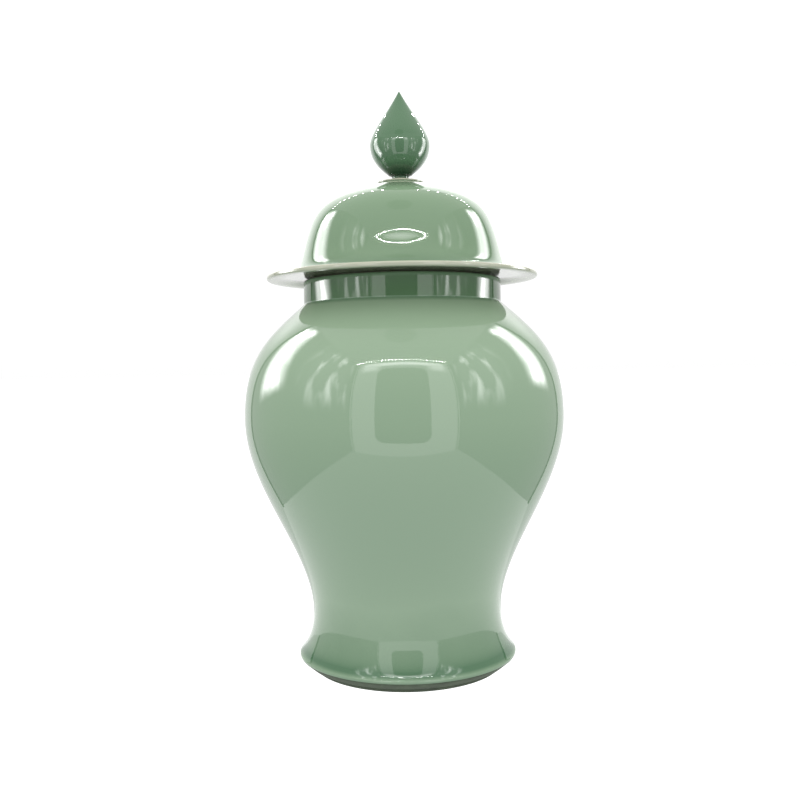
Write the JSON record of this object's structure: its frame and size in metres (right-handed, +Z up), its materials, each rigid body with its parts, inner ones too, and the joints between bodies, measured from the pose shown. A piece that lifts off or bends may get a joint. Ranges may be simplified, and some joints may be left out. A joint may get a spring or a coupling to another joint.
{
  "type": "lidded temple jar",
  "caption": "Glazed porcelain temple jar: baluster body with a flared foot and short neck, and a lift-off domed lid with a wide brim and a pointed bud finial.",
  "frame": {"origin": "centre of the face that the foot ring stands on, on the jar's axis", "axes": "+Z up along the turning axis towards the finial's tip; +X and +Y lie in the table's plane, and the jar is the same all round"},
  "size_m": [0.2548, 0.2548, 0.4598],
  "materials": {
    "body_glaze": "glossy transparent celadon glaze over pale porcelain, deeper green where it pools and paler on edges",
    "neck_glaze": "glossy celadon glaze, thicker in the crease under the neck",
    "lid_glaze": "glossy celadon glaze, beige along the brim's edge where it runs thin",
    "finial_glaze": "thick glossy celadon glaze, the darkest green on the jar",
    "bare_clay": "matt unglazed biscuit, grey buff from the kiln"
  },
  "bodies": {
    "jar": {"foot_ring": "bare_clay", "foot_section": "body_glaze", "lower_body": "body_glaze", "upper_body": "body_glaze", "neck_collar": "neck_glaze"},
    "lid": {"lid_locating_rim": "bare_clay", "lid_brim": "lid_glaze", "lid_dome": "lid_glaze", "finial_seat": "lid_glaze", "finial_bud": "finial_glaze"}
  },
  "joints": [
    {"name": "lid_lift", "type": "slide", "parent": "jar", "child": "lid", "axis": [0, 0, 1], "range_m": [0, 0.165]}
  ]
}
